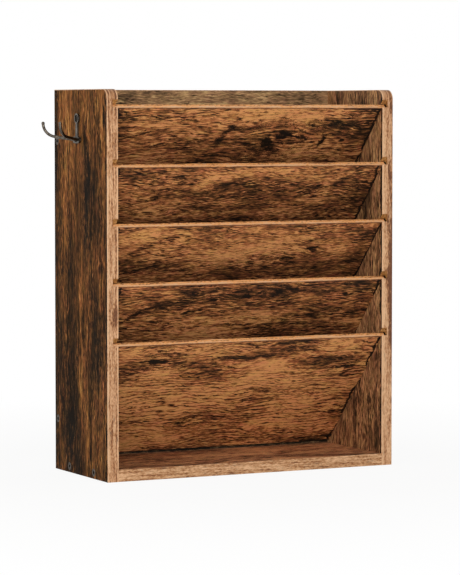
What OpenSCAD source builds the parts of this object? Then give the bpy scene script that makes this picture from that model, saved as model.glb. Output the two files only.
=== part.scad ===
// Wall file organizer: a tall open case of banded boards with sloping dividers let into
// grooves, an open compartment at the bottom and a two-prong hook on the left side.
// X runs across the front, Y from the front to the rear and Z up. The origin is the middle
// of the underside.

/* [Case] */
// Width over both sides
case_w = 400; // [340:1:460]
// Depth from the front edges to the rear
case_d = 160; // [140:1:190]
// Height
case_h = 480; // [440:1:560]
// Thickness of the side, back and bottom boards
board_t = 15; // [13:0.5:18]
// Radius of the top front corner of each side
corner_r = 12; // [4:0.5:18]
// Thickness of the edge banding
band_t = 0.8; // [0.4:0.1:1.5]

/* [Dividers] */
// Number of sloping dividers
divider_count = 5; // [3:1:6]
// Thickness of a divider
divider_t = 6.8; // [4:0.1:9]
// Slope of the dividers below the horizontal, in degrees
divider_slope = 46.7; // [40:0.1:50]
// Distance of the dividers' front edges behind the front of the case
divider_recess = 1.2; // [0:0.1:5]
// Drop from the top of the case to the lower front corner of the top divider
top_drop = 23.2; // [20:0.1:40]
// Height of the lowest divider's rear end above the bottom board
foot_gap = 3.6; // [1:0.1:10]
// Gap between a divider's rear end and the back board
back_gap = 0.2; // [0.1:0.1:1]

/* [Grooves] */
// Depth of the grooves in the sides
groove_depth = 7.5; // [5:0.5:9]
// Clearance between a divider's face and the groove wall
groove_clear = 0.1; // [0.05:0.05:0.3]
// Mean gap between a divider's ends and the bottoms of its grooves
groove_end_gap = 1.5; // [0.5:0.1:2.5]
// Share of that gap by which the dividers sit to the left
left_share = 0.8; // [0:0.05:0.95]
// Distance that a groove runs on past the divider's rear end
groove_overrun = 0.5; // [0.2:0.1:2]

/* [Connecting screws] */
// Length of a connecting screw
joint_screw_len = 50; // [40:1:60]
// Diameter of its countersunk head
joint_head_d = 10; // [9:0.1:11]
// Height of the straight rim of the head
joint_rim_h = 0.6; // [0.2:0.1:1]
// Diameter of the plain neck in the side board
joint_neck_d = 7; // [6:0.1:7.4]
// Diameter of the part that holds in the inner board
joint_core_d = 5; // [4:0.1:5.6]
// Width across the flats of the hexagon socket
joint_socket_w = 4; // [3:0.1:4.4]
// Depth of the socket
joint_socket_depth = 2.6; // [1:0.1:3]
// Distance of the heads below the face of the side
joint_head_sink = 0.2; // [0:0.1:0.5]
// Clearance round a screw in its bore
bore_clear = 0.1; // [0.05:0.05:0.3]
// Distance of the bottom board's screws from the front and the rear of the case
bottom_screw_inset = 43; // [20:1:60]
// Distance of the back board's screws from the top and the bottom of the case
back_screw_inset = 64.5; // [40:0.5:100]

/* [Side hook] */
// Distance of the hook behind the front of the case
hook_back = 87; // [76:0.5:115]
// Drop from the top of the case to the prongs' root
hook_drop = 62.5; // [50:0.5:80]
// Distance of the tips from the side
hook_reach = 35.5; // [30:0.5:45]
// Distance between the middles of the two tips
hook_splay = 53; // [40:0.5:60]
// Rise of the middles of the tips above the root
hook_rise = 20.5; // [15:0.1:24]
// Angle at which a prong rises before it bends upright
prong_lift = 9; // [0:1:14]
// Diameter of a prong
prong_d = 3.6; // [2.6:0.1:4.6]
// How far the ball at a prong's tip stands out round the prong
tip_bead = 0.3; // [0.1:0.05:0.8]
// Distance between the screws of the hook
hook_screw_gap = 26.5; // [22:0.5:34]
// Diameter of the eye
eye_d = 12.5; // [11:0.5:15]
// Thickness of the eye and stem
eye_t = 2.2; // [1.8:0.1:3]
// Diameter of the dished seat in the eye
eye_seat_d = 9.4; // [8:0.1:10]
// Thickness of metal under the seat
eye_floor_t = 1; // [0.6:0.1:1.4]
// Width of the stem where it meets the eye
stem_top_w = 4.6; // [3:0.1:7]
// Width of the stem where it meets the root
stem_root_w = 6.4; // [4:0.1:8]
// Height of the rounded root plate
root_h = 8.4; // [7.4:0.1:10]
// Thickness of the root plate
root_t = 2.8; // [2.4:0.1:4]

/* [Hook screws] */
// Diameter of the round heads
hook_head_d = 6.2; // [5:0.1:6.8]
// Height of the round heads
hook_head_h = 2.2; // [1.6:0.1:3]
// Diameter of the shanks
hook_shank_d = 3; // [2:0.1:3.6]
// Length of the shanks
hook_shank_len = 12; // [8:0.5:14]
// Width of the slots in the cross recess
cross_w = 0.9; // [0.6:0.1:1.2]
// Length of the cross recess, tip to tip
cross_len = 3.6; // [2.4:0.1:4.4]
// Depth of the cross recess
cross_depth = 1.1; // [0.6:0.1:1.3]

/* [Hanger plates] */
// Distance of each keyhole from the outer face of the side next to it
hanger_inset = 50; // [36:1:100]
// Drop from the top of the case to the middle of each plate
hanger_drop = 46; // [30:1:90]
// Width of a plate
plate_w = 16; // [14:0.5:20]
// Length of a plate
plate_len = 42; // [40:1:50]
// Thickness of a plate
plate_t = 1.5; // [1:0.1:2]
// Clearance round a plate in its recess
plate_clear = 0.2; // [0.1:0.1:0.5]
// Diameter of the keyhole's round entry
entry_d = 9.5; // [8:0.1:10.5]
// Width of the keyhole's slot
slot_w = 4.8; // [3.6:0.1:6]
// Distance from the middle of the entry to the end radius of the slot
slot_rise = 8; // [7:0.5:10]
// Depth of the pocket behind the keyhole, under the plate
pocket_depth = 8; // [5:0.5:9]
// Clearance between the pocket's wall and the keyhole's outline
pocket_margin = 1.75; // [1:0.25:2]
// Distance between the two screws of a plate
plate_screw_gap = 30; // [29:0.5:33]
// Diameter of the plate screws' heads
plate_head_d = 6; // [5.4:0.1:6.4]
// Diameter of the plate screws' shanks
plate_shank_d = 3; // [2:0.1:3.4]
// Length of the plate screws
plate_screw_len = 10; // [6:0.5:11]
// Length of the cross recess in the plate screws, tip to tip
plate_cross_len = 3; // [2:0.1:3.4]
// Depth of the cross recess in the plate screws
plate_cross_depth = 1; // [0.6:0.1:1.2]

/* [Hidden] */
$fn = 64;
// Distance that a cutter runs past the face it opens
past = 1;
half_w = case_w / 2;
half_d = case_d / 2;
inner_half_w = half_w - board_t;
back_face_y = half_d - board_t;
// The outer edges of the banding are bevelled over six tenths of its thickness.
band_bevel = 0.6 * band_t;

// A divider is worked out in its own slot: its length runs down the slope and ends where
// its upper rear corner comes to the back board.
divider_y = divider_recess - half_d;
divider_run = back_face_y - back_gap - divider_y - divider_t * sin(divider_slope);
divider_len = divider_run / cos(divider_slope);
divider_w = 2 * (inner_half_w + groove_depth - groove_end_gap);
divider_x = -divider_w / 2 - left_share * groove_end_gap;
top_divider_z = case_h - top_drop;
low_divider_z = board_t + foot_gap + divider_len * sin(divider_slope);
divider_pitch = (top_divider_z - low_divider_z) / (divider_count - 1);

joint_cone_h = (joint_head_d - joint_neck_d) / 2;
bottom_screw_y = half_d - bottom_screw_inset;
bottom_screw_z = board_t / 2;
back_screw_y = half_d - board_t / 2;

hook_y = hook_back - half_d;
hook_z = case_h - hook_drop;
prong_r = prong_d / 2;
prong_root_x = prong_r + 0.2;
prong_root_y = hook_head_d / 2 + prong_r + 0.5;
prong_angle = atan2(hook_splay / 2 - prong_root_y, hook_reach - prong_root_x);
prong_run = (hook_reach - prong_root_x) / cos(prong_angle);
// The straight part and the bend together end upright at the tip.
lift_share = 1 - sin(prong_lift);
prong_straight = prong_run * cos(prong_lift) / lift_share - hook_rise;
prong_bend_r = (hook_rise * cos(prong_lift) - prong_run * sin(prong_lift)) / lift_share;

plate_r = plate_w / 2;
hanger_x = half_w - hanger_inset;
plate_z = case_h - hanger_drop;
entry_z = -slot_rise / 2;
slot_z = slot_rise / 2;

wood_color = [0.36, 0.22, 0.13];
band_color = [0.74, 0.53, 0.36];
screw_color = [0.45, 0.42, 0.4];
hook_color = [0.2, 0.17, 0.15];
plate_color = [0.75, 0.76, 0.77];

// Outline of a side board seen along X, inside its banding
module side_outline() {
    r = corner_r - band_t;
    front = band_t - half_d;
    top = case_h - band_t;
    translate([front, 0]) square([half_d - front, top - r]);
    translate([front + r, 0]) square([half_d - front - r, top]);
    translate([front + r, top - r]) circle(r);
}

// Section of a strip of banding w wide, with its bevelled outer face on Y = 0
module band_section(w) {
    polygon([
        [0, band_t],
        [0, band_bevel],
        [band_bevel, 0],
        [w - band_bevel, 0],
        [w, band_bevel],
        [w, band_t]
    ]);
}

// Stands an outline drawn in Y and Z up as a board that starts at x
module board_along_x(x, t) {
    translate([x, 0, 0]) rotate([90, 0, 90]) linear_extrude(t) children();
}

// Places its children in a divider's slot, at the lower front corner of the divider, with Y
// down the slope and Z through the divider's thickness
module in_slot(k) {
    translate([0, divider_y, top_divider_z - (k - 1) * divider_pitch])
        rotate([-divider_slope, 0, 0]) children();
}

// Cutter for all grooves of both sides, open to the front
module groove_cutters() {
    groove_half_w = inner_half_w + groove_depth;
    for (k = [1:divider_count])
        in_slot(k)
            translate([-groove_half_w, -board_t, -groove_clear])
                cube([
                    2 * groove_half_w,
                    board_t + divider_len + groove_overrun,
                    divider_t + 2 * groove_clear
                ]);
}

// Connecting screw along -Z with the top of its head at the origin, grown by its clearance
// where it is used as a cutter
module joint_screw_shape(grow) {
    head_r = joint_head_d / 2 + grow;
    neck_r = joint_neck_d / 2 + grow;
    core_r = joint_core_d / 2 + grow;
    neck_end = board_t - joint_head_sink;
    rotate_extrude()
        polygon([
            [0, 0],
            [head_r, 0],
            [head_r, -joint_rim_h],
            [neck_r, -joint_rim_h - joint_cone_h],
            [neck_r, -neck_end],
            [core_r, -neck_end],
            [core_r, -joint_screw_len + core_r - grow],
            [0, -joint_screw_len - grow]
        ]);
}

module joint_screw() {
    difference() {
        joint_screw_shape(0);
        translate([0, 0, -joint_socket_depth])
            cylinder(d = joint_socket_w / cos(30), h = joint_socket_depth + past, $fn = 6);
    }
}

// Bore of a connecting screw, with the seat open to the face of the side
module joint_bore() {
    joint_screw_shape(bore_clear);
    cylinder(d = joint_head_d + 2 * bore_clear, h = joint_head_sink + past);
}

// Puts its children where the left side's bottom screws go, pointing inwards along X
module at_bottom_screws() {
    for (y = [-bottom_screw_y, bottom_screw_y])
        translate([joint_head_sink - half_w, y, bottom_screw_z]) rotate([0, -90, 0]) children();
}

// Puts its children where the left side's back screws go, pointing inwards along X
module at_back_screws() {
    for (z = [back_screw_inset, case_h - back_screw_inset])
        translate([joint_head_sink - half_w, back_screw_y, z]) rotate([0, -90, 0]) children();
}

// Side board as it stands on the left, with its grooves and the bores of its screws
module side_panel() {
    color(wood_color)
        difference() {
            board_along_x(-half_w, board_t) side_outline();
            groove_cutters();
            at_bottom_screws() joint_bore();
            at_back_screws() joint_bore();
        }
}

module left_side_panel() {
    color(wood_color)
        difference() {
            side_panel();
            at_hook_screws() hook_pilot();
        }
}

module right_side_panel() {
    mirror([1, 0, 0]) side_panel();
}

// Banding round the front, corner and top edges of the left side, open where the grooves
// come out
module side_edge_band() {
    color(band_color)
        difference() {
            union() {
                translate([-half_w, -half_d, 0])
                    linear_extrude(case_h - corner_r) band_section(board_t);
                translate([-half_w, corner_r - half_d, case_h - corner_r])
                    rotate([90, 0, 90])
                        rotate([0, 0, 90])
                            rotate_extrude(angle = 90)
                                translate([corner_r, 0]) rotate(90) band_section(board_t);
                translate([-half_w, corner_r - half_d, case_h])
                    rotate([-90, 0, 0])
                        linear_extrude(case_d - corner_r) band_section(board_t);
            }
            groove_cutters();
        }
}

module left_edge_band() {
    side_edge_band();
}

module right_edge_band() {
    mirror([1, 0, 0]) side_edge_band();
}

module bottom_panel() {
    color(wood_color)
        difference() {
            translate([-inner_half_w, band_t - half_d, 0])
                cube([2 * inner_half_w, case_d - band_t, board_t]);
            at_bottom_screws() joint_bore();
            mirror([1, 0, 0]) at_bottom_screws() joint_bore();
        }
}

module bottom_edge_band() {
    color(band_color)
        translate([inner_half_w, -half_d, 0])
            rotate([0, -90, 0])
                linear_extrude(2 * inner_half_w) band_section(board_t);
}

// Back board between the sides, standing on the bottom board, with the recesses of the
// hanger plates in its rear face
module back_panel() {
    color(wood_color)
        difference() {
            translate([-inner_half_w, back_face_y, board_t])
                cube([2 * inner_half_w, board_t, case_h - band_t - board_t]);
            at_back_screws() joint_bore();
            mirror([1, 0, 0]) at_back_screws() joint_bore();
            at_plate(-1) plate_recess();
            at_plate(1) plate_recess();
        }
}

module back_edge_band() {
    color(band_color)
        translate([inner_half_w, back_face_y, case_h])
            rotate([-90, 0, 90])
                linear_extrude(2 * inner_half_w) band_section(board_t);
}

module divider(k) {
    color(wood_color)
        in_slot(k)
            translate([divider_x, band_t, 0])
                cube([divider_w, divider_len - band_t, divider_t]);
}

module divider_edge_band(k) {
    color(band_color)
        in_slot(k)
            translate([divider_x + divider_w, 0, 0])
                rotate([0, -90, 0])
                    linear_extrude(divider_w) band_section(divider_t);
}

module bottom_screws() {
    color(screw_color) at_bottom_screws() joint_screw();
}

module back_screws() {
    color(screw_color) at_back_screws() joint_screw();
}

// Puts its children at the root of the hook, with X pointing away from the side
module at_hook() {
    translate([-half_w, hook_y, hook_z]) mirror([1, 0, 0]) children();
}

// Puts its children at both hook screws, on the face of the side, with Z pointing away
module at_hook_screws() {
    at_hook()
        for (z = [0, hook_screw_gap])
            translate([0, 0, z]) rotate([0, 90, 0]) children();
}

// Pilot hole of a hook screw, below the face of the side
module hook_pilot() {
    translate([0, 0, -hook_shank_len - past])
        cylinder(d = hook_shank_d + 2 * bore_clear, h = hook_shank_len + 2 * past);
}

// One prong: it rises gently from the root, then bends up to the round bead at its tip
module prong() {
    translate([prong_root_x, prong_root_y, 0])
        rotate([0, 0, prong_angle]) {
            rotate([0, -prong_lift, 0]) {
                sphere(prong_r);
                rotate([0, 90, 0]) cylinder(r = prong_r, h = prong_straight);
                translate([prong_straight, 0, prong_bend_r])
                    rotate([90, 0, 0])
                        rotate([0, 0, -90])
                            rotate_extrude(angle = 90 - prong_lift)
                                translate([prong_bend_r, 0]) circle(prong_r);
            }
            translate([prong_run, 0, hook_rise]) sphere(prong_r + tip_bead);
        }
}

// Flat back of the hook: eye, tapered stem and rounded root plate
module hook_back_plate() {
    translate([0, 0, hook_screw_gap]) rotate([0, 90, 0]) cylinder(d = eye_d, h = eye_t);
    rotate([90, 0, 90])
        linear_extrude(eye_t)
            polygon([
                [-stem_root_w / 2, 0],
                [stem_root_w / 2, 0],
                [stem_top_w / 2, hook_screw_gap - eye_d / 4],
                [-stem_top_w / 2, hook_screw_gap - eye_d / 4]
            ]);
    rotate([90, 0, 90])
        linear_extrude(root_t) {
            translate([-prong_root_y, -root_h / 2]) square([2 * prong_root_y, root_h]);
            translate([-prong_root_y, 0]) circle(d = root_h);
            translate([prong_root_y, 0]) circle(d = root_h);
        }
}

module side_hook() {
    color(hook_color)
        at_hook()
            difference() {
                union() {
                    hook_back_plate();
                    prong();
                    mirror([0, 1, 0]) prong();
                }
                for (z = [0, hook_screw_gap])
                    translate([-past, 0, z])
                        rotate([0, 90, 0])
                            cylinder(
                                d = hook_shank_d + 2 * bore_clear,
                                h = root_t + 2 * past
                            );
                translate([eye_floor_t, 0, hook_screw_gap])
                    rotate([0, 90, 0]) cylinder(d = eye_seat_d, h = eye_t);
            }
}

// Cutter for a cross recess, open above the origin
module cross_recess(len, depth) {
    for (a = [0, 90])
        rotate([0, 0, a])
            translate([-len / 2, -cross_w / 2, -depth]) cube([len, cross_w, depth + past]);
}

// Round-head screw with its head seated at the origin and its shank along -Z
module hook_screw(seat) {
    sphere_r = (pow(hook_head_d / 2, 2) + pow(hook_head_h, 2)) / (2 * hook_head_h);
    translate([0, 0, seat])
        difference() {
            intersection() {
                translate([0, 0, hook_head_h - sphere_r]) sphere(sphere_r);
                cylinder(d = hook_head_d, h = hook_head_h);
            }
            translate([0, 0, hook_head_h]) cross_recess(cross_len, cross_depth);
        }
    translate([0, 0, -hook_shank_len])
        cylinder(d = hook_shank_d, h = hook_shank_len + seat);
    translate([0, 0, -hook_shank_len - hook_shank_d / 4])
        cylinder(d1 = hook_shank_d / 4, d2 = hook_shank_d, h = hook_shank_d / 4);
}

module hook_screws() {
    color(screw_color)
        at_hook() {
            rotate([0, 90, 0]) hook_screw(root_t);
            translate([0, 0, hook_screw_gap]) rotate([0, 90, 0]) hook_screw(eye_floor_t);
        }
}

// Puts its children on the rear face at a hanger plate, with X across, Y up the face and
// Z pointing to the wall
module at_plate(side) {
    translate([side * hanger_x, half_d, plate_z])
        rotate([90, 0, 180]) children();
}

// Plate outline with round ends, grown by a clearance
module plate_outline(grow) {
    end_y = plate_len / 2 - plate_r;
    translate([-plate_r - grow, -end_y]) square([plate_w + 2 * grow, 2 * end_y]);
    for (y = [-end_y, end_y])
        translate([0, y]) circle(plate_r + grow);
}

// Puts its children at both screws of a hanger plate
module at_plate_screws() {
    for (y = [-plate_screw_gap / 2, plate_screw_gap / 2])
        translate([0, y, 0]) children();
}

// Countersunk screw with its head level with the origin and its shank along -Z
module plate_screw_shape(grow) {
    head_r = plate_head_d / 2 + grow;
    shank_r = plate_shank_d / 2 + grow;
    rotate_extrude()
        polygon([
            [0, 0],
            [head_r, 0],
            [shank_r, shank_r - head_r],
            [shank_r, shank_r - plate_screw_len - 2 * grow],
            [0, -plate_screw_len - 2 * grow]
        ]);
}

// Recess of a hanger plate, the pocket behind its keyhole and the pilots of its screws
module plate_recess() {
    pocket_r = entry_d / 2 + pocket_margin;
    translate([0, 0, -plate_t]) linear_extrude(plate_t + past) plate_outline(plate_clear);
    translate([0, 0, -plate_t - pocket_depth])
        linear_extrude(pocket_depth + past) {
            translate([-pocket_r, entry_z]) square([2 * pocket_r, slot_rise]);
            translate([0, entry_z]) circle(pocket_r);
            translate([0, slot_z]) circle(pocket_r);
        }
    at_plate_screws() plate_screw_shape(bore_clear);
}

module keyhole_plate(side) {
    color(plate_color)
        at_plate(side)
            difference() {
                translate([0, 0, -plate_t]) linear_extrude(plate_t) plate_outline(0);
                translate([0, entry_z, -plate_t - past])
                    cylinder(d = entry_d, h = plate_t + 2 * past);
                translate([0, slot_z, -plate_t - past])
                    cylinder(d = slot_w, h = plate_t + 2 * past);
                translate([-slot_w / 2, entry_z, -plate_t - past])
                    cube([slot_w, slot_rise, plate_t + 2 * past]);
                at_plate_screws() plate_screw_shape(bore_clear);
            }
}

module plate_screws(side) {
    color(plate_color)
        at_plate(side)
            at_plate_screws()
                difference() {
                    plate_screw_shape(0);
                    cross_recess(plate_cross_len, plate_cross_depth);
                }
}

left_side_panel();
right_side_panel();
back_panel();
bottom_panel();
for (k = [1:divider_count]) {
    divider(k);
    divider_edge_band(k);
}
left_edge_band();
right_edge_band();
bottom_edge_band();
back_edge_band();
bottom_screws();  // left_bottom_screws
mirror([1, 0, 0]) bottom_screws();  // right_bottom_screws
back_screws();  // left_back_screws
mirror([1, 0, 0]) back_screws();  // right_back_screws
side_hook();
hook_screws();
keyhole_plate(-1);  // left_keyhole_plate
keyhole_plate(1);  // right_keyhole_plate
plate_screws(-1);  // left_plate_screws
plate_screws(1);  // right_plate_screws
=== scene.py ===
"""Wall file organizer: the looks of its boards, banding, screws and hook."""
import math

import bpy
from mathutils import Euler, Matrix
from mathutils import Vector

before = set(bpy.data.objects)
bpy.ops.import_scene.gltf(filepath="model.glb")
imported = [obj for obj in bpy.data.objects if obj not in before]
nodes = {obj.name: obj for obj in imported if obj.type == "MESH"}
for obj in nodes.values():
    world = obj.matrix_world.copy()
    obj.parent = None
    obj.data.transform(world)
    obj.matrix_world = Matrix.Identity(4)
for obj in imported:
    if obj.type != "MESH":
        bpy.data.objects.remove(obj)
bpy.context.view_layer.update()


# Colours are written as sRGB hex and turned linear here.
def linear(hex_code):
    """A linear RGBA colour from #rrggbb."""
    channels = []
    for start in (1, 3, 5):
        value = int(hex_code[start:start + 2], 16) / 255
        if value <= 0.04045:
            channels.append(value / 12.92)
        else:
            channels.append(((value + 0.055) / 1.055) ** 2.4)
    return (*channels, 1.0)


def add_node(tree, kind, links=None, **settings):
    """Adds a node, gives it its settings, and links or sets its inputs."""
    node = tree.nodes.new(kind)
    for name, value in settings.items():
        setattr(node, name, value)
    for socket, value in (links or {}).items():
        if isinstance(value, bpy.types.NodeSocket):
            tree.links.new(value, node.inputs[socket])
        else:
            node.inputs[socket].default_value = value
    return node


def new_group(name, inputs, outputs):
    """An empty node group with named inputs and outputs."""
    group = bpy.data.node_groups.new(name, "ShaderNodeTree")
    for label, kind in inputs:
        group.interface.new_socket(label, in_out="INPUT", socket_type="NodeSocket" + kind)
    for label, kind in outputs:
        group.interface.new_socket(label, in_out="OUTPUT", socket_type="NodeSocket" + kind)
    source = add_node(group, "NodeGroupInput")
    result = add_node(group, "NodeGroupOutput")
    return group, source.outputs, result.inputs


def set_ramp(node, stops):
    """Puts (position, hex colour) stops on a colour ramp."""
    ramp = node.color_ramp
    while len(ramp.elements) > 1:
        ramp.elements.remove(ramp.elements[-1])
    ramp.elements[0].position = stops[0][0]
    ramp.elements[0].color = linear(stops[0][1])
    for place, colour in stops[1:]:
        ramp.elements.new(place).color = linear(colour)


def new_material(name):
    """An empty node material with its tree and its shader linked to the output."""
    material = bpy.data.materials.new(name)
    material.use_nodes = True
    tree = material.node_tree
    tree.nodes.clear()
    shader = add_node(tree, "ShaderNodeBsdfPrincipled")
    add_node(tree, "ShaderNodeOutputMaterial", {"Surface": shader.outputs[0]})
    return material, tree, shader


# A knot's nearness is 1 in its middle and falls off to 0. It is an exponential of the squared
# distance times an uneven factor, which the ragged noise moves round -1. A knot pushes the grain
# aside, and its dark heart starts at one nearness and is full at another.
UNEVEN_BASE = 0.3
UNEVEN_SPREAD = -2.6
KNOT_PUSH = 0.85
HEART_RIM = 0.72
HEART_CORE = 0.86


def make_knot_group():
    """Parts the grain round a knot, and adds the knot's dark heart."""
    group, given, made = new_group(
        "grain round a knot",
        [("Place", "Vector"), ("Grain", "Vector"), ("Heart", "Float"), ("Ragged", "Float"),
         ("Centre", "Vector"), ("Reach", "Vector"), ("Depth", "Float"), ("Near", "Float")],
        [("Grain", "Vector"), ("Heart", "Float"), ("Near", "Float")])
    offset = add_node(group, "ShaderNodeVectorMath",
                      {0: given["Place"], 1: given["Centre"]}, operation="SUBTRACT")
    shares = add_node(group, "ShaderNodeVectorMath",
                      {0: offset.outputs[0], 1: given["Reach"]}, operation="MULTIPLY")
    square = add_node(group, "ShaderNodeVectorMath",
                      {0: shares.outputs[0], 1: shares.outputs[0]}, operation="DOT_PRODUCT")
    uneven = add_node(group, "ShaderNodeMath",
                      {0: given["Ragged"], 1: UNEVEN_SPREAD, 2: UNEVEN_BASE},
                      operation="MULTIPLY_ADD")
    turned = add_node(group, "ShaderNodeMath",
                      {0: square.outputs["Value"], 1: uneven.outputs[0]}, operation="MULTIPLY")
    nearness = add_node(group, "ShaderNodeMath", {0: turned.outputs[0]}, operation="EXPONENT")
    parts = add_node(group, "ShaderNodeSeparateXYZ", {0: offset.outputs[0]})
    part = add_node(group, "ShaderNodeMath", {0: parts.outputs["Y"], 1: -KNOT_PUSH},
                    operation="MULTIPLY")
    push = add_node(group, "ShaderNodeMath",
                    {0: part.outputs[0], 1: nearness.outputs[0]}, operation="MULTIPLY")
    shift = add_node(group, "ShaderNodeCombineXYZ", {"Y": push.outputs[0]})
    bent = add_node(group, "ShaderNodeVectorMath",
                    {0: given["Grain"], 1: shift.outputs[0]}, operation="ADD")
    group.links.new(bent.outputs[0], made["Grain"])
    narrow = add_node(group, "ShaderNodeMapRange",
                      {"Value": nearness.outputs[0], "From Min": HEART_RIM,
                       "From Max": HEART_CORE})
    dark = add_node(group, "ShaderNodeMath",
                    {0: narrow.outputs[0], 1: given["Depth"]}, operation="MULTIPLY")
    heart = add_node(group, "ShaderNodeMath",
                     {0: dark.outputs[0], 1: given["Heart"]}, operation="ADD")
    group.links.new(heart.outputs[0], made["Heart"])
    near = add_node(group, "ShaderNodeMath",
                    {0: nearness.outputs[0], 1: given["Near"]}, operation="MAXIMUM")
    group.links.new(near.outputs[0], made["Near"])
    return group


# How much the ragged noise counts in a stain's distance from its middle, the measure at its edge,
# and how far the edge may blur to either side.
RAGGED_SHARE = 4.0
STAIN_EDGE = 2.85
LEAST_BLUR = 0.2
MOST_BLUR = 0.8
BLUR_MM = 25


def make_stain_group():
    """A ragged patch that darkens or lightens the print."""
    group, given, made = new_group(
        "ragged stain",
        [("Place", "Vector"), ("Ragged", "Float"), ("Tone", "Float"), ("Centre", "Vector"),
         ("Reach", "Vector"), ("Turn", "Float"), ("Amount", "Float"), ("Outer", "Float"),
         ("Inner", "Float")],
        [("Tone", "Float")])
    turned = add_node(group, "ShaderNodeVectorRotate",
                      {"Vector": given["Place"], "Center": given["Centre"],
                       "Angle": given["Turn"]}, rotation_type="Z_AXIS")
    offset = add_node(group, "ShaderNodeVectorMath",
                      {0: turned.outputs[0], 1: given["Centre"]}, operation="SUBTRACT")
    shares = add_node(group, "ShaderNodeVectorMath",
                      {0: offset.outputs[0], 1: given["Reach"]}, operation="MULTIPLY")
    distance = add_node(group, "ShaderNodeVectorMath", {0: shares.outputs[0]},
                        operation="LENGTH")
    loose = add_node(group, "ShaderNodeMath",
                     {0: given["Ragged"], 1: RAGGED_SHARE, 2: distance.outputs["Value"]},
                     operation="MULTIPLY_ADD")
    cover = add_node(group, "ShaderNodeMapRange",
                     {"Value": loose.outputs[0], "From Min": given["Outer"],
                      "From Max": given["Inner"]}, interpolation_type="SMOOTHSTEP")
    change = add_node(group, "ShaderNodeMath",
                      {0: cover.outputs[0], 1: given["Amount"], 2: given["Tone"]},
                      operation="MULTIPLY_ADD")
    group.links.new(change.outputs[0], made["Tone"])
    return group


knot_group = make_knot_group()
stain_group = make_stain_group()


def add_group(tree, group, links):
    """Adds a node group and links or sets its inputs."""
    return add_node(tree, "ShaderNodeGroup", links, node_tree=group)


def add_noise(tree, vector, seed, scale, detail=4.0, roughness=0.6, distortion=0.0):
    """Noise on a vector in millimetres, stretched to the lengths in scale."""
    stretched = add_node(tree, "ShaderNodeVectorMath",
                         {0: vector, 1: [1 / length for length in scale]}, operation="MULTIPLY")
    return add_node(tree, "ShaderNodeTexNoise",
                    {"Vector": stretched.outputs[0], "W": seed, "Scale": 1.0, "Detail": detail,
                     "Roughness": roughness, "Distortion": distortion},
                    noise_dimensions="4D").outputs[0]


def add_sum(tree, start, *terms):
    """start plus each value times its weight, less the middle of the value."""
    total = start
    for value, weight in terms:
        centred = add_node(tree, "ShaderNodeMath", {0: value, 1: 0.5}, operation="SUBTRACT")
        links = {0: centred.outputs[0], 1: weight, 2: total}
        total = add_node(tree, "ShaderNodeMath", links, operation="MULTIPLY_ADD").outputs[0]
    return total


def add_stains(tree, tone, place, ragged, stains):
    """Adds patches to a tone: (along, across, length, width, slant in degrees, change)."""
    for along, across, length, width, slant, change in stains:
        blur = min(LEAST_BLUR + min(length, width) / BLUR_MM, MOST_BLUR)
        links = {"Place": place, "Ragged": ragged, "Tone": tone, "Centre": (along, across, 0),
                 "Reach": (1 / length, 1 / width, 0), "Turn": -math.radians(slant),
                 "Amount": change, "Outer": STAIN_EDGE + blur, "Inner": STAIN_EDGE - blur}
        stain = add_group(tree, stain_group, links)
        tone = stain.outputs[0]
    return tone


# The dividers as the CAD has them: the sine and cosine of their slope, then in millimetres the
# place of the top one's lower front corner, the step from one to the next and their thickness.
DIVIDER_COUNT = 5
SLOPE_SINE = 0.7278
SLOPE_COSINE = 0.6858
FRONT_Y = -78.8
TOP_FRONT_Z = 456.8
DIVIDER_STEP = 72.767
DIVIDER_T = 6.8

# Measured down the slope: the top divider's front edge, the step from one front edge to the
# next, and how far behind an edge its groove gets painted shade.
FIRST_EDGE = -386.5
EDGE_STEP = 52.96
GROOVE_SHADE_RUN = 44

# The unshaded raw edges of a side board lie behind and below these places, in metres.
RAW_REAR_Y = 0.079
RAW_FOOT_Z = 0.001


def darken_grooves(tree, place, bare):
    """Painted shade darkens a side board's bare grooves behind the dividers' front edges."""
    down = add_node(tree, "ShaderNodeVectorMath",
                    {0: place, 1: (0, 1000 * SLOPE_COSINE, -1000 * SLOPE_SINE)},
                    operation="DOT_PRODUCT")
    behind = add_node(tree, "ShaderNodeMath",
                      {0: down.outputs["Value"], 1: -FIRST_EDGE - EDGE_STEP * DIVIDER_COUNT},
                      operation="ADD")
    folded = add_node(tree, "ShaderNodeMath", {0: behind.outputs[0], 1: EDGE_STEP},
                      operation="FLOORED_MODULO")
    deep = add_node(tree, "ShaderNodeMath", {0: folded.outputs[0], 1: GROOVE_SHADE_RUN},
                    operation="LESS_THAN")
    axes = add_node(tree, "ShaderNodeSeparateXYZ", {0: place})
    inside = add_node(tree, "ShaderNodeMath", {0: axes.outputs["Y"], 1: RAW_REAR_Y},
                      operation="LESS_THAN")
    raised = add_node(tree, "ShaderNodeMath", {0: axes.outputs["Z"], 1: RAW_FOOT_Z},
                      operation="GREATER_THAN")
    in_groove = add_node(tree, "ShaderNodeMath", {0: inside.outputs[0], 1: raised.outputs[0]},
                         operation="MULTIPLY")
    groove_shade = add_node(tree, "ShaderNodeMath", {0: in_groove.outputs[0], 1: deep.outputs[0]},
                     operation="MULTIPLY")
    # Painted shade: deep in each groove the bare core turns nearly black.
    return add_node(tree, "ShaderNodeMix",
                    {"Factor": groove_shade.outputs[0], "A": bare, "B": linear("#2c1d12")},
                    data_type="RGBA").outputs[2]


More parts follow.
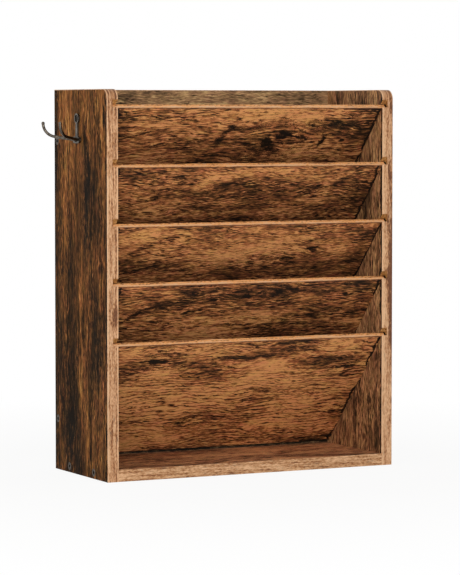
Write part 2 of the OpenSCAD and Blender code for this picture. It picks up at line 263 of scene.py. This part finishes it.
# Noise layers of the print: step of the seed, the vector that the layer lies on, whether a
# board's stretch applies to it, its grain along, across and through the board in millimetres,
# then detail, roughness and distortion. They run from smoky bands of a hand's width to grit of
# 1 mm, which is about as fine as the picture can show.
PRINT_LAYERS = {
    "smoke": (0, "wander", True, (130, 42, 60), 4, 0.6, 0.5),
    "blotch": (3, "wander", True, (34, 15, 40), 5, 0.7, 0.9),
    "streak": (7, "flow", True, (55, 6, 30), 4, 0.68, 0.5),
    "lines": (11, "flow", True, (34, 2.3, 30), 2, 0.6, 0.5),
    "worn": (13, "board", True, (9, 3, 30), 3, 0.7, 0.6),
    "cracks": (17, "flow", True, (26, 1.9, 30), 3, 0.65, 0.8),
    "flecks": (19, "flow", True, (20, 1.7, 30), 3, 0.65, 0.6),
    "lively": (23, "board", False, (70, 26, 60), 3, 0.6, 0.6),
    "grit": (37, "flow", True, (16, 1.2, 30), 1, 0.6, 0.3),
    "ringed": (41, "board", False, (90, 30, 60), 3, 0.6, 0.4),
    "tint": (43, "flow", False, (24, 8, 30), 4, 0.7, 0.5),
    "pores": (47, "flow", True, (20, 1.6, 30), 2, 0.6, 0.5),
    "ticks": (53, "flow", True, (9, 1.4, 30), 1, 0.6, 0.5),
    "swell": (59, "flow", False, (110, 34, 60), 2, 0.5, 0.3),
    "speckle": (61, "board", False, (7, 1.0, 30), 0, 0.5, 0.0),
}

# What the fine layers weigh in the tone.
FINE_WEIGHTS = (("streak", 0.55), ("lines", 0.6), ("worn", 0.15), ("grit", 2.0),
                ("speckle", 1.5))

# Crisp strokes, each with its layer, the values where it starts and is full, and its change of
# tone: thin dark pores and ticks, dark streaks, and a few golden worn ones.
STROKES = (("pores", 0.44, 0.34, -0.42), ("ticks", 0.38, 0.31, -0.5),
           ("streak", 0.43, 0.37, -0.15), ("streak", 0.57, 0.64, 0.08),
           ("cracks", 0.62, 0.655, -0.5), ("flecks", 0.6, 0.68, 0.28))

# Tones of the print from its stains to its worn grain.
PRINT_TONES = [(0.0, "#1b130c"), (0.16, "#2e1f13"), (0.34, "#4c301b"), (0.5, "#704628"),
               (0.66, "#965a32"), (0.84, "#bc7642"), (1.0, "#dd9c5e")]

# The bare core starts this far below the printed faces, and whatever lies less than the second
# depth above the first face counts as that face. In millimetres.
FACE_DEPTH = 0.25
FAR_DEPTH = 0.3

# The sawn grain wanders: size of the drift along, across and through the board, and its reach
# along and across it. In millimetres.
DRIFT_SIZE = (75, 34, 60)
DRIFT_REACH = (30, 30, 0)

# Ragged noise of 9 by 4 mm breaks up the rims of stains and knots.
RAGGED_SIZE = (9, 4, 30)


def add_wander(tree, board, seed):
    """The board's vector, moved by a few millimetres over a hand's width as sawn grain is."""
    slow = add_node(tree, "ShaderNodeVectorMath",
                    {0: board, 1: [1 / length for length in DRIFT_SIZE]}, operation="MULTIPLY")
    drift = add_node(tree, "ShaderNodeTexNoise",
                     {"Vector": slow.outputs[0], "W": seed + 29, "Scale": 1.0, "Detail": 5.0,
                      "Roughness": 0.6}, noise_dimensions="4D")
    centred = add_node(tree, "ShaderNodeVectorMath",
                       {0: drift.outputs["Color"], 1: (0.5, 0.5, 0.5)}, operation="SUBTRACT")
    return add_node(tree, "ShaderNodeVectorMath",
                    {0: centred.outputs[0], 1: DRIFT_REACH, 2: board},
                    operation="MULTIPLY_ADD").outputs[0]


def add_knots(tree, wander, ragged, knots):
    """Knots: (along, across, length, width, depth). Gives grain, dark hearts and nearness."""
    flow = wander
    heart = 0.0
    near = 0.0
    for along, across, length, width, depth in knots:
        knot = add_group(tree, knot_group, {
            "Place": wander, "Grain": flow, "Ragged": ragged, "Centre": (along, across, 0),
            "Reach": (1 / length, 1 / width, 0), "Depth": depth, "Heart": heart, "Near": near})
        flow = knot.outputs["Grain"]
        heart = knot.outputs["Heart"]
        near = knot.outputs["Near"]
    return flow, heart, near


def add_layers(tree, vectors, seed, stretch):
    """The print's noise layers by name."""
    layers = {}
    for name, (step, lie, stretched, size, *shape) in PRINT_LAYERS.items():
        along = size[0] * stretch if stretched else size[0]
        layers[name] = add_noise(tree, vectors[lie], seed + step, (along, size[1], size[2]),
                                 *shape)
    return layers


def add_grain(tree, tone, layers, strokes):
    """Adds the fine layers and the strokes to a tone, livelier in some places."""
    share = add_node(tree, "ShaderNodeMapRange",
                     {"Value": layers["lively"], "From Min": 0.4, "From Max": 0.62,
                      "To Min": 0.62 * strokes, "To Max": 1.2 * strokes})
    fine = add_sum(tree, 0.0, *((layers[name], weight) for name, weight in FINE_WEIGHTS))
    for name, start, full, change in STROKES:
        stroke = add_node(tree, "ShaderNodeMapRange", {
            "Value": layers[name], "From Min": start, "From Max": full, "To Max": change})
        fine = add_node(tree, "ShaderNodeMath", {0: fine, 1: stroke.outputs[0]},
                        operation="ADD").outputs[0]
    return add_node(tree, "ShaderNodeMath", {0: fine, 1: share.outputs[0], 2: tone},
                    operation="MULTIPLY_ADD").outputs[0]


def add_rings(tree, tone, layers, flow, near, ringed, rings, pitch):
    """Growth rings: thin dark lines pitch mm apart that follow the grain, close round a knot."""
    rise = add_node(tree, "ShaderNodeSeparateXYZ", {0: flow}).outputs["Y"]
    turns = add_node(tree, "ShaderNodeMath", {0: rise, 1: 1 / pitch}, operation="MULTIPLY")
    bent = add_sum(tree, turns.outputs[0], (layers["swell"], 4.0), (layers["blotch"], 0.35))
    angle = add_node(tree, "ShaderNodeMath", {0: bent, 1: 2 * math.pi}, operation="MULTIPLY")
    wave = add_node(tree, "ShaderNodeMath", {0: angle.outputs[0]}, operation="SINE")
    half_wave = add_node(tree, "ShaderNodeMath", {0: wave.outputs[0], 1: 0.5, 2: 0.5},
                         operation="MULTIPLY_ADD")
    sharp = add_node(tree, "ShaderNodeMath", {0: half_wave.outputs[0], 1: 9.0},
                     operation="POWER")
    # They show most near a knot and elsewhere fade in and out over a hand's width.
    depth = add_node(tree, "ShaderNodeMapRange",
                     {"Value": ringed, "From Min": 0.42, "From Max": 0.6,
                      "To Min": -0.08 * rings, "To Max": -0.75 * rings})
    deeper = add_node(tree, "ShaderNodeMath", {0: near, 1: -0.45, 2: depth.outputs[0]},
                      operation="MULTIPLY_ADD")
    return add_node(tree, "ShaderNodeMath",
                    {0: sharp.outputs[0], 1: deeper.outputs[0], 2: tone},
                    operation="MULTIPLY_ADD").outputs[0]


def add_core(tree, board):
    """The colour of a board's bare core: wood chips of 1 to 3 mm, pressed and sawn."""
    chips = add_node(tree, "ShaderNodeTexVoronoi", {"Vector": board, "Scale": 0.45})
    colour = add_node(tree, "ShaderNodeValToRGB", {0: chips.outputs["Color"]})
    set_ramp(colour, [(0.1, "#85572f"), (0.45, "#a5713c"), (0.9, "#c4945c")])
    return colour.outputs[0]


def add_face_mask(tree, height, faces):
    """One on the two printed faces, zero on the cut edges and in the grooves."""
    middle = (faces[0] + faces[1]) / 2
    half = abs(faces[1] - faces[0]) / 2
    from_middle = add_node(tree, "ShaderNodeMath", {0: height, 1: middle}, operation="SUBTRACT")
    reach = add_node(tree, "ShaderNodeMath", {0: from_middle.outputs[0]}, operation="ABSOLUTE")
    return add_node(tree, "ShaderNodeMath", {0: reach.outputs[0], 1: half - FACE_DEPTH},
                    operation="GREATER_THAN").outputs[0]


# Rustic wood print: a melamine-soaked paper printed like old sawn timber, pressed on particle
# board. It is nearly black in its stains, orange brown in its grain and golden where the
# print looks worn, with a satin face and a shallow pressed grain.
def rustic_print(name, turn, faces, seed, level=0.5, rings=0.6, pitch=6.0, gold=0.0, vivid=1.0,
                 sheen=0.1, stretch=1.0, strokes=1.0, smoky=2.3, grooved=False, hidden=None,
                 knots=(), stains=(), veins=()):
    """A board's material. turn lays the grain along X, faces are the two printed heights.

    level is the mean tone. rings, strokes and smoky weigh the growth rings, the fine strokes and
    the broad bands. pitch is the distance between rings and stretch lengthens the grain. gold
    turns the hue, vivid is the saturation and sheen the gloss. grooved boards get painted shade
    in their grooves.
    hidden is the change of tone on the first face, which then has no stains of its own."""
    material, tree, shader = new_material(name)
    place = add_node(tree, "ShaderNodeTexCoord").outputs["Object"]
    board = add_node(tree, "ShaderNodeMapping",
                     {"Vector": place, "Rotation": turn, "Scale": (1000, 1000, 1000)}).outputs[0]
    wander = add_wander(tree, board, seed)
    ragged = add_noise(tree, wander, seed + 31, RAGGED_SIZE, 6, 0.8, 0.6)
    flow, heart, near = add_knots(tree, wander, ragged, knots)
    layers = add_layers(tree, {"board": board, "wander": wander, "flow": flow}, seed, stretch)
    tone = add_sum(tree, level, (layers["smoke"], smoky), (layers["blotch"], 0.8))
    tone = add_grain(tree, tone, layers, strokes)
    ringed = add_stains(tree, layers["ringed"], wander, ragged, veins)
    plain_tone = add_rings(tree, tone, layers, flow, near, ringed, rings, pitch)
    tone = add_stains(tree, plain_tone, wander, ragged, stains)
    tone = add_node(tree, "ShaderNodeMath", {0: tone, 1: heart}, operation="SUBTRACT").outputs[0]
    height = add_node(tree, "ShaderNodeSeparateXYZ", {0: board}).outputs["Z"]
    strength = vivid
    if hidden is not None:
        far = add_node(tree, "ShaderNodeMath", {0: height, 1: faces[0] + FAR_DEPTH},
                       operation="LESS_THAN").outputs[0]
        lowered = add_node(tree, "ShaderNodeMath", {0: plain_tone, 1: hidden}, operation="ADD")
        tone = add_node(tree, "ShaderNodeMix",
                        {"Factor": far, "A": tone, "B": lowered.outputs[0]}).outputs[0]
        strength = add_node(tree, "ShaderNodeMapRange",
                            {"Value": far, "To Min": vivid, "To Max": 1.0}).outputs[0]
    print_colour = add_node(tree, "ShaderNodeValToRGB", {0: tone})
    set_ramp(print_colour, PRINT_TONES)
    # The print's hue moves by a few degrees between reddish and golden brown.
    hue = add_node(tree, "ShaderNodeMath", {0: layers["tint"], 1: 0.07, 2: 0.465 + gold},
                   operation="MULTIPLY_ADD")
    toned = add_node(tree, "ShaderNodeHueSaturation",
                     {"Color": print_colour.outputs[0], "Hue": hue.outputs[0],
                      "Saturation": strength})
    bare = add_core(tree, board)
    if grooved:
        bare = darken_grooves(tree, place, bare)
    colour = add_node(tree, "ShaderNodeMix",
                      {"Factor": add_face_mask(tree, height, faces), "A": bare,
                       "B": toned.outputs[0]}, data_type="RGBA")
    tree.links.new(colour.outputs[2], shader.inputs["Base Color"])
    gloss = add_node(tree, "ShaderNodeMapRange",
                     {"Value": layers["streak"], "From Min": 0.3, "From Max": 0.7,
                      "To Min": 0.7, "To Max": 0.5})
    tree.links.new(gloss.outputs[0], shader.inputs["Roughness"])
    relief = add_node(tree, "ShaderNodeBump",
                      {"Strength": 0.25, "Distance": 0.0004, "Height": layers["lines"]})
    tree.links.new(relief.outputs[0], shader.inputs["Normal"])
    shader.inputs["IOR"].default_value = 1.5
    shader.inputs["Specular IOR Level"].default_value = sheen
    return material


# The case as the CAD has it, in millimetres: half its width and depth, and its boards.
HALF_W = 200
HALF_D = 80
BOARD_T = 15

# Where the grain lies: sides stand, dividers slope, the back stands and the bottom lies. The
# dividers turn by their slope of 46.7 degrees less half a turn.
SIDE_TURN = (0, math.radians(90), 0)
DIVIDER_TURN = (math.radians(-133.3), 0, 0)
BACK_TURN = (math.radians(-90), 0, 0)
BOTTOM_TURN = (0, 0, 0)


def front_height(number):
    """The height of a divider's lower front corner, in millimetres."""
    return TOP_FRONT_Z - DIVIDER_STEP * (number - 1)


def divider_heights(number):
    """The two faces of a sloping divider along the normal of its face, in millimetres."""
    front = -SLOPE_SINE * FRONT_Y - SLOPE_COSINE * front_height(number)
    return front - DIVIDER_T, front


def lay(name, material):
    """Gives a CAD node its material."""
    mesh = nodes[name].data
    mesh.materials.clear()
    mesh.materials.append(material)


lay("left_side_panel", rustic_print(
    "wood print, left side", SIDE_TURN, (HALF_W - BOARD_T, HALF_W), seed=1.3, level=0.47,
    rings=0.3, gold=0.006, vivid=0.99, sheen=0.02, stretch=2.2, strokes=0.65, smoky=1.4,
    grooved=True,
    knots=[(348, -17, 16, 9, 0.5), (313, -14, 9, 5, 0.6), (72, 30, 24, 14, 0.5)],
    stains=[
        (60, 0, 150, 140, 0, -0.18), (440, 10, 80, 50, 0, 0.05), (430, 76, 100, 7, 0, -0.3),
        (260, 0, 70, 60, 0, 0.1), (240, -78.6, 500, 2.0, 0, -0.6), (447, -72, 12, 3.5, 0, -0.6),
        (390, -20, 55, 7, 0, -0.25), (330, -18, 60, 13, 0, -0.3), (250, 30, 110, 22, 0, -0.14),
        (150, -2, 70, 4, 0, 0.25), (72, 30, 60, 20, 0, -0.2), (110, -20, 60, 12, 0, 0.08),
        (190, -55, 90, 20, 0, -0.1), (330, 45, 60, 8, 0, 0.14), (60, -40, 50, 8, 0, 0.12),
        (20, -8, 40, 5, 0, -0.2)]))
# The inner face is a lighter copy of the outer face (hidden), painted light for the shade it lies
# in.
lay("right_side_panel", rustic_print(
    "wood print, right side", SIDE_TURN, (-HALF_W, BOARD_T - HALF_W), seed=5.1, level=0.67,
    rings=0.4, gold=0.009, vivid=0.9, stretch=1.5, strokes=0.8, smoky=1.7, grooved=True,
    hidden=-0.2,
    knots=[(138, -65, 14, 8, 0.35), (81, -47, 11, 7, 0.45)],
    stains=[
        (45, -71, 50, 10, 0, -0.3), (60, -8, 60, 5, 0, -0.3), (240, -78.4, 500, 2.4, 0, -0.8)]))
# Painted shade: the dark band 18 mm up the back board, in the gap under the lowest divider. The
# front face is a lighter copy of the rear face (hidden), painted light for its shade.
lay("back_panel", rustic_print(
    "wood print, back", BACK_TURN, (-HALF_D, BOARD_T - HALF_D), seed=9.7, level=0.73, rings=0.3,
    gold=0.024, vivid=0.82, strokes=0.5, smoky=0.9, hidden=-0.18,
    stains=[(0, 18, 400, 9, 0, -0.6)]))
lay("bottom_panel", rustic_print(
    "wood print, bottom", BOTTOM_TURN, (0, BOARD_T), seed=14.2, level=0.84, rings=0.6, vivid=0.9))

# The print of each divider, from the top one down. Knots, stains and veins (where growth rings
# show more) lie at places along and across the board in millimetres, and across it the numbers
# rise towards the front edge. The dark stains at 175 to 180 along, by the right end, are
# painted shade.
DIVIDER_LOOKS = [
    {"seed": 21.4, "level": 0.65, "rings": 0.6, "pitch": 5.0,
     "knots": [(56, 334, 46, 26, 0.0), (149, 332, 9, 6, 0.6), (145, 369, 6, 4, 0.5)],
     "stains": [
         (52, 334, 30, 17, 10, -0.22), (41, 325, 8, 10, 20, -0.8), (60, 338, 14, 6, 25, -0.8),
         (86, 336, 12, 4, -15, -0.6), (119, 329, 11, 3.5, 62, -1.0),
         (-165, 360, 40, 20, 0, -0.22), (-150, 318, 60, 10, 0, -0.14),
         (-22, 342, 32, 5, 72, -0.5), (-8, 352, 20, 4, -30, -0.4), (-120, 354, 24, 5, 4, 0.3),
         (-55, 366, 40, 8, 0, 0.16), (15, 366, 60, 6, 10, 0.16), (95, 368, 40, 6, 0, 0.2),
         (-140, 342, 22, 2.5, 12, -0.4), (175, 350, 40, 40, 0, -0.08),
         (-182, 345, 26, 34, 0, -0.28), (-90, 372, 50, 2.5, 0, -0.3),
         (10, 362, 60, 12, 0, -0.16)]},
    {"seed": 33.1, "level": 0.68, "rings": 0.5,
     "knots": [(-122, 281, 14, 8, 0.5), (110, 298, 8, 5, 0.5)],
     "stains": [
         (-110, 283, 60, 14, 0, -0.28), (-25, 305, 24, 7, 20, -0.24), (0, 320, 90, 8, 0, 0.16),
         (140, 290, 40, 12, 0, 0.06), (150, 316, 26, 3, 45, -0.2), (-165, 300, 16, 26, 0, -0.1),
         (178, 300, 30, 40, 0, -0.1), (-120, 305, 80, 34, 0, 0.1), (0, 312, 50, 24, 0, -0.18),
         (120, 310, 60, 26, 0, 0.1)]},
    {"seed": 41.9, "level": 0.735, "rings": 0.5,
     "knots": [(101, 235, 10, 7, 0.6), (55, 245, 6, 4, 0.5)],
     "stains": [
         (-110, 266, 70, 11, 0, 0.16), (-141, 214, 50, 14, 0, -0.25), (60, 268, 80, 8, 0, 0.12),
         (-150, 240, 40, 4, 25, -0.2), (90, 222, 60, 8, 0, -0.15), (178, 245, 30, 40, 0, -0.1),
         (120, 250, 80, 34, 0, 0.16)]},
    {"seed": 57.2, "level": 0.63, "rings": 0.6,
     "knots": [
         (-75, 210, 12, 7, 0.5), (-1, 207, 10, 6, 0.6), (-44, 197, 9, 6, 0.6),
         (141, 202, 7, 4, 0.5)],
     "stains": [
         (52, 211, 36, 8, 0, -0.3), (-60, 205, 60, 9, 0, -0.12), (-147, 176, 15, 4, 45, -0.6),
         (-120, 212, 40, 7, 0, 0.1), (110, 190, 50, 8, 0, 0.08), (178, 190, 30, 40, 0, -0.14),
         (80, 196, 70, 30, 0, -0.14), (-110, 196, 60, 30, 0, 0.1)]},
    {"seed": 63.8, "level": 0.83, "rings": 0.95, "pitch": 6.0,
     "knots": [(-120, 144, 24, 13, 0.3), (165, 33, 14, 9, 0.4)],
     "veins": [(-60, 72, 200, 44, 0, 0.35)],
     "stains": [
         (-10, 62, 230, 60, 0, 0.28), (-125, 142, 11, 4, 0, -0.5), (0, 145, 44, 5, 3, -0.5),
         (20, 141, 7, 4, 0, 0.5), (66, 155, 40, 4, -4, -0.35), (10, 100, 34, 8, 14, 0.3),
         (80, 108, 60, 14, 0, 0.12), (-62, 118, 22, 26, 20, -0.22), (30, 124, 60, 12, 0, 0.12),
         (-154, 127, 40, 14, 20, -0.25), (127, 132, 34, 9, 0, -0.3),
         (160, 118, 18, 5, 62, -0.5), (-40, 160, 60, 6, 0, 0.12), (180, 80, 30, 60, 0, -0.14),
         (130, 140, 80, 34, 0, -0.14)]},
]
# Where the top divider's front edge lies across the board, and the step to the next, rounded.
TOP_ACROSS = 368
STEP_ACROSS = 53
for number, looks in enumerate(DIVIDER_LOOKS, 1):
    # Painted shade: dark lines where the ends go into the grooves, and a darker right end.
    # They are longer than the divider, so their middle only has to lie somewhere on it.
    centre = TOP_ACROSS - STEP_ACROSS * (number - 1) - (20 if number < DIVIDER_COUNT else 60)
    looks["stains"] += [(-185.5, centre, 2.4, 200, 0, -0.7), (184.8, centre, 2.0, 200, 0, -0.9),
                        (168, centre, 26, 200, 0, -0.1)]
    lay(f"divider_{number}", rustic_print(
        f"wood print, divider {number}", DIVIDER_TURN, divider_heights(number), vivid=0.98,
        **looks))


# Printed edge banding: a strip of printed paper and resin, ironed on. It is light tan with
# fine darker grain along it and dull grey smudges where the print imitates worn edges.
def edge_banding(name, along, across, seed, tan="#c18f67", smudge=0.6, level=0.53,
                 patches=()):
    """Banding material. along and across weigh X, Y and Z for the strip's own two axes.

    patches are stains in those axes: (along, across, length, width, slant, change)."""
    material, tree, shader = new_material(name)
    place = add_node(tree, "ShaderNodeTexCoord").outputs["Object"]
    length = add_node(tree, "ShaderNodeVectorMath",
                      {0: place, 1: [1000 * share for share in along]}, operation="DOT_PRODUCT")
    width = add_node(tree, "ShaderNodeVectorMath",
                     {0: place, 1: [1000 * share for share in across]}, operation="DOT_PRODUCT")
    strip = add_node(tree, "ShaderNodeCombineXYZ",
                     {"X": length.outputs["Value"], "Y": width.outputs["Value"]}).outputs[0]
    # Shades of 7 mm, grain of 2 mm, flecks and grit finer than that, and smears of 5 mm.
    shade = add_noise(tree, strip, seed, (60, 7, 1), 4, 0.6, 0.2)
    grain = add_noise(tree, strip, seed + 2, (40, 1.9, 1), 2, 0.6, 0.2)
    fleck = add_noise(tree, strip, seed + 5, (9, 1.5, 1), 3, 0.7, 0.2)
    grit = add_noise(tree, strip, seed + 13, (4, 1.3, 1), 1, 0.6, 0.2)
    smear = add_noise(tree, strip, seed + 8, (26, 5, 1), 5, 0.7, 0.4)
    tone = add_sum(tree, level, (shade, 0.9), (grain, 1.9), (grit, 1.8))
    tone = add_stains(tree, tone, strip, smear, patches)
    ground = add_node(tree, "ShaderNodeValToRGB", {0: tone})
    set_ramp(ground, [(0.0, "#6a4026"), (0.2, "#98663f"), (0.5, tan), (0.95, "#e0b48b")])
    # Short dark flecks along the grain, thicker where the strip is smeared.
    spots = add_sum(tree, 0.0, (fleck, 2.6), (smear, 1.8), (grit, 1.0))
    cover = add_node(tree, "ShaderNodeMapRange",
                     {"Value": spots, "From Min": 0.26, "From Max": 0.62,
                      "To Max": smudge})
    colour = add_node(tree, "ShaderNodeMix",
                      {"Factor": cover.outputs[0], "A": ground.outputs[0],
                       "B": linear("#5a4a3e")}, data_type="RGBA")
    tree.links.new(colour.outputs[2], shader.inputs["Base Color"])
    shader.inputs["Roughness"].default_value = 0.5
    shader.inputs["IOR"].default_value = 1.5
    shader.inputs["Specular IOR Level"].default_value = 0.3
    relief = add_node(tree, "ShaderNodeBump",
                      {"Strength": 0.2, "Distance": 0.0003, "Height": grain})
    tree.links.new(relief.outputs[0], shader.inputs["Normal"])
    return material


# On the sides the strip's length is Z less Y, so it runs on round the corner.
# Thin light lines along the side strips' edges are painted highlights.
lay("left_edge_band", edge_banding(
    "edge banding, left side", (0, -1, 1), (1, 0, 0), seed=2.2, smudge=0.75,
    patches=[
        (560, -192, 70, 14, 0, -0.3), (280, -189, 14, 5, 0, -0.5),
        (280, -199.2, 500, 1.2, 0, 0.45), (280, -185.9, 500, 1.1, 0, 0.5),
        (280, -188.2, 500, 1.0, 0, -0.25)]))
lay("right_edge_band", edge_banding(
    "edge banding, right side", (0, -1, 1), (1, 0, 0), seed=7.7, smudge=0.55, level=0.66,
    patches=[
        (351, 200, 148, 8.4, 0, -0.8), (351, 188, 170, 6, 0, 0.15), (560, 192, 60, 14, 0, -0.3),
        (280, 185.9, 500, 1.4, 0, 0.4)]))
lay("bottom_edge_band", edge_banding(
    "edge banding, bottom", (1, 0, 0), (0, 0, 1), seed=12.6, tan="#b98a60", smudge=0.7))
lay("back_edge_band", edge_banding(
    "edge banding, back", (1, 0, 0), (0, 1, 0), seed=17.1, tan="#a87850"))
for number in range(1, DIVIDER_COUNT + 1):
    # Painted shade: a dark line on the strip's lower edge stands for the shadow under the lip.
    # Just above it lies a painted highlight, and near its top the strip is a little darker.
    # heel is the height of that edge along the strip's own width.
    heel = SLOPE_SINE * FRONT_Y + SLOPE_COSINE * front_height(number)
    lay(f"divider_{number}_edge_band", edge_banding(
        f"edge banding, divider {number}", (1, 0, 0), (0, SLOPE_SINE, SLOPE_COSINE),
        seed=20.0 + 3 * number, tan="#eea35d", smudge=0.25, level=0.55, patches=[
            (0, heel, 900, 0.9, 0, -1.2), (0, heel + 2.2, 900, 1.2, 0, 0.3),
            (0, heel + 5.6, 900, 1.4, 0, -0.12)]))


# Metals: plain steel screws dulled by handling, a bronze-lacquered hook, zinc-plated plates.
def worn_metal(name, deep, bare, roughness, grain_mm, seed):
    """A metal whose colour moves from its worn to its deep tone in patches of grain_mm."""
    material, tree, shader = new_material(name)
    place = add_node(tree, "ShaderNodeTexCoord").outputs["Object"]
    metal = add_node(tree, "ShaderNodeMapping",
                     {"Vector": place, "Scale": (1000, 1000, 1000)}).outputs[0]
    patches = add_noise(tree, metal, seed, (grain_mm, grain_mm, grain_mm), 5, 0.65, 0.3)
    colour = add_node(tree, "ShaderNodeValToRGB", {0: patches})
    set_ramp(colour, [(0.35, deep), (0.7, bare)])
    tree.links.new(colour.outputs[0], shader.inputs["Base Color"])
    gloss = add_node(tree, "ShaderNodeMapRange",
                     {"Value": patches, "From Min": 0.3, "From Max": 0.7,
                      "To Min": roughness + 0.12, "To Max": roughness - 0.08})
    tree.links.new(gloss.outputs[0], shader.inputs["Roughness"])
    shader.inputs["Metallic"].default_value = 1.0
    relief = add_node(tree, "ShaderNodeBump",
                      {"Strength": 0.15, "Distance": 0.0002, "Height": patches})
    tree.links.new(relief.outputs[0], shader.inputs["Normal"])
    return material


screw_steel = worn_metal("dulled screw steel", "#2b241e", "#63574a",
                         roughness=0.42, grain_mm=2.5, seed=3.0)
hook_bronze = worn_metal("bronze lacquer on steel", "#2e2822", "#7d7468",
                         roughness=0.34, grain_mm=4.0, seed=8.0)
dark_screw = worn_metal("blackened screw steel", "#1d1a17", "#4c463f",
                        roughness=0.4, grain_mm=2.0, seed=5.0)
zinc_plate = worn_metal("zinc plating", "#8b8f93", "#c3c6c8",
                        roughness=0.36, grain_mm=3.0, seed=14.0)
lay("side_hook", hook_bronze)
lay("hook_screws", dark_screw)
for side in ("left", "right"):
    lay(f"{side}_bottom_screws", screw_steel)
    lay(f"{side}_back_screws", screw_steel)
    lay(f"{side}_keyhole_plate", zinc_plate)
    lay(f"{side}_plate_screws", zinc_plate)


# The floor is white to the camera and to reflections. Up to 0.3 m from the part it keeps 8 per
# cent of its own shading, and so a trace of the shadow, and from 0.9 m on it is pure white.
def white_floor():
    """A pale floor that fades into the white background."""
    material, tree, shader = new_material("pale studio floor")
    shader.inputs["Base Color"].default_value = linear("#e8e6e2")
    shader.inputs["Roughness"].default_value = 0.8
    ray = add_node(tree, "ShaderNodeLightPath")
    seen = add_node(tree, "ShaderNodeMath",
                    {0: ray.outputs["Is Camera Ray"], 1: ray.outputs["Is Glossy Ray"]},
                    operation="MAXIMUM")
    place = add_node(tree, "ShaderNodeTexCoord").outputs["Object"]
    distance = add_node(tree, "ShaderNodeVectorMath", {0: place}, operation="LENGTH")
    white_share = add_node(tree, "ShaderNodeMapRange",
                           {"Value": distance.outputs["Value"], "From Min": 0.3,
                            "From Max": 0.9, "To Min": 0.92, "To Max": 1.0})
    share = add_node(tree, "ShaderNodeMath", {0: seen.outputs[0], 1: white_share.outputs[0]},
                     operation="MULTIPLY")
    white = add_node(tree, "ShaderNodeEmission", {"Color": (1, 1, 1, 1), "Strength": 1.0})
    mixed = add_node(tree, "ShaderNodeMixShader",
                     {0: share.outputs[0], 1: shader.outputs[0], 2: white.outputs[0]})
    output = next(n for n in tree.nodes if n.type == "OUTPUT_MATERIAL")
    tree.links.new(mixed.outputs[0], output.inputs["Surface"])
    return material


bpy.ops.object.select_all(action="DESELECT")
bpy.ops.mesh.primitive_plane_add(size=30, location=(0, 0, -0.0005))
floor = bpy.context.object
floor.name = "studio_floor"
floor.data.materials.append(white_floor())

# The camera and reflections see pure white. Other rays meet a soft, slightly warm white room,
# which lights the part from all sides.
world = bpy.data.worlds.new("studio")
bpy.context.scene.world = world
world.use_nodes = True
tree = world.node_tree
tree.nodes.clear()
ray = add_node(tree, "ShaderNodeLightPath")
direct = add_node(tree, "ShaderNodeMath",
                  {0: ray.outputs["Is Camera Ray"], 1: ray.outputs["Is Transmission Ray"]},
                  operation="MAXIMUM")
seen = add_node(tree, "ShaderNodeMath",
                {0: direct.outputs[0], 1: ray.outputs["Is Glossy Ray"]}, operation="MAXIMUM")
room = add_node(tree, "ShaderNodeBackground", {"Color": linear("#f4f1ec"), "Strength": 0.55})
white = add_node(tree, "ShaderNodeBackground", {"Color": (1, 1, 1, 1), "Strength": 1.0})
sky = add_node(tree, "ShaderNodeMixShader",
               {0: seen.outputs[0], 1: room.outputs[0], 2: white.outputs[0]})
add_node(tree, "ShaderNodeOutputWorld", {"Surface": sky.outputs[0]})


def soft_lamp(name, place, aim, size, power):
    """A white square soft lamp that looks at a point, with its size in metres and its watts."""
    bpy.ops.object.select_all(action="DESELECT")
    bpy.ops.object.light_add(type="AREA", location=place)
    lamp = bpy.context.object
    lamp.name = name
    lamp.data.size = size
    lamp.data.energy = power
    lamp.rotation_euler = (Vector(aim) - Vector(place)).to_track_quat("-Z", "Y").to_euler()


# A strong lamp lights the front. The one on the left is weak, so the left side stays dim.
soft_lamp("key_lamp", (-0.9, -2.1, 0.6), (0, 0, 0.2), size=1.1, power=23)
soft_lamp("side_lamp", (-2.0, -0.6, 0.9), (0, 0, 0.24), size=1.2, power=4)

# The camera stands 3.6 m away in front and to the left, a little lower than the top of the case,
# and looks slightly down. Angles are in radians and the lens is in millimetres.
CAMERA_PLACE = (-1.635628, -3.246620, 0.454269)
CAMERA_DIP = 0.0618973
CAMERA_TURN = -0.468572
CAMERA_LENS = 179.147
bpy.ops.object.select_all(action="DESELECT")
bpy.ops.object.camera_add(location=CAMERA_PLACE)
camera = bpy.context.object
camera.name = "photo_camera"
camera.rotation_euler = Euler((math.pi / 2 - CAMERA_DIP, 0, CAMERA_TURN))
camera.data.lens = CAMERA_LENS
camera.data.clip_start = 0.05
camera.data.clip_end = 60
bpy.context.scene.camera = camera
bpy.context.scene.view_settings.view_transform = "Standard"
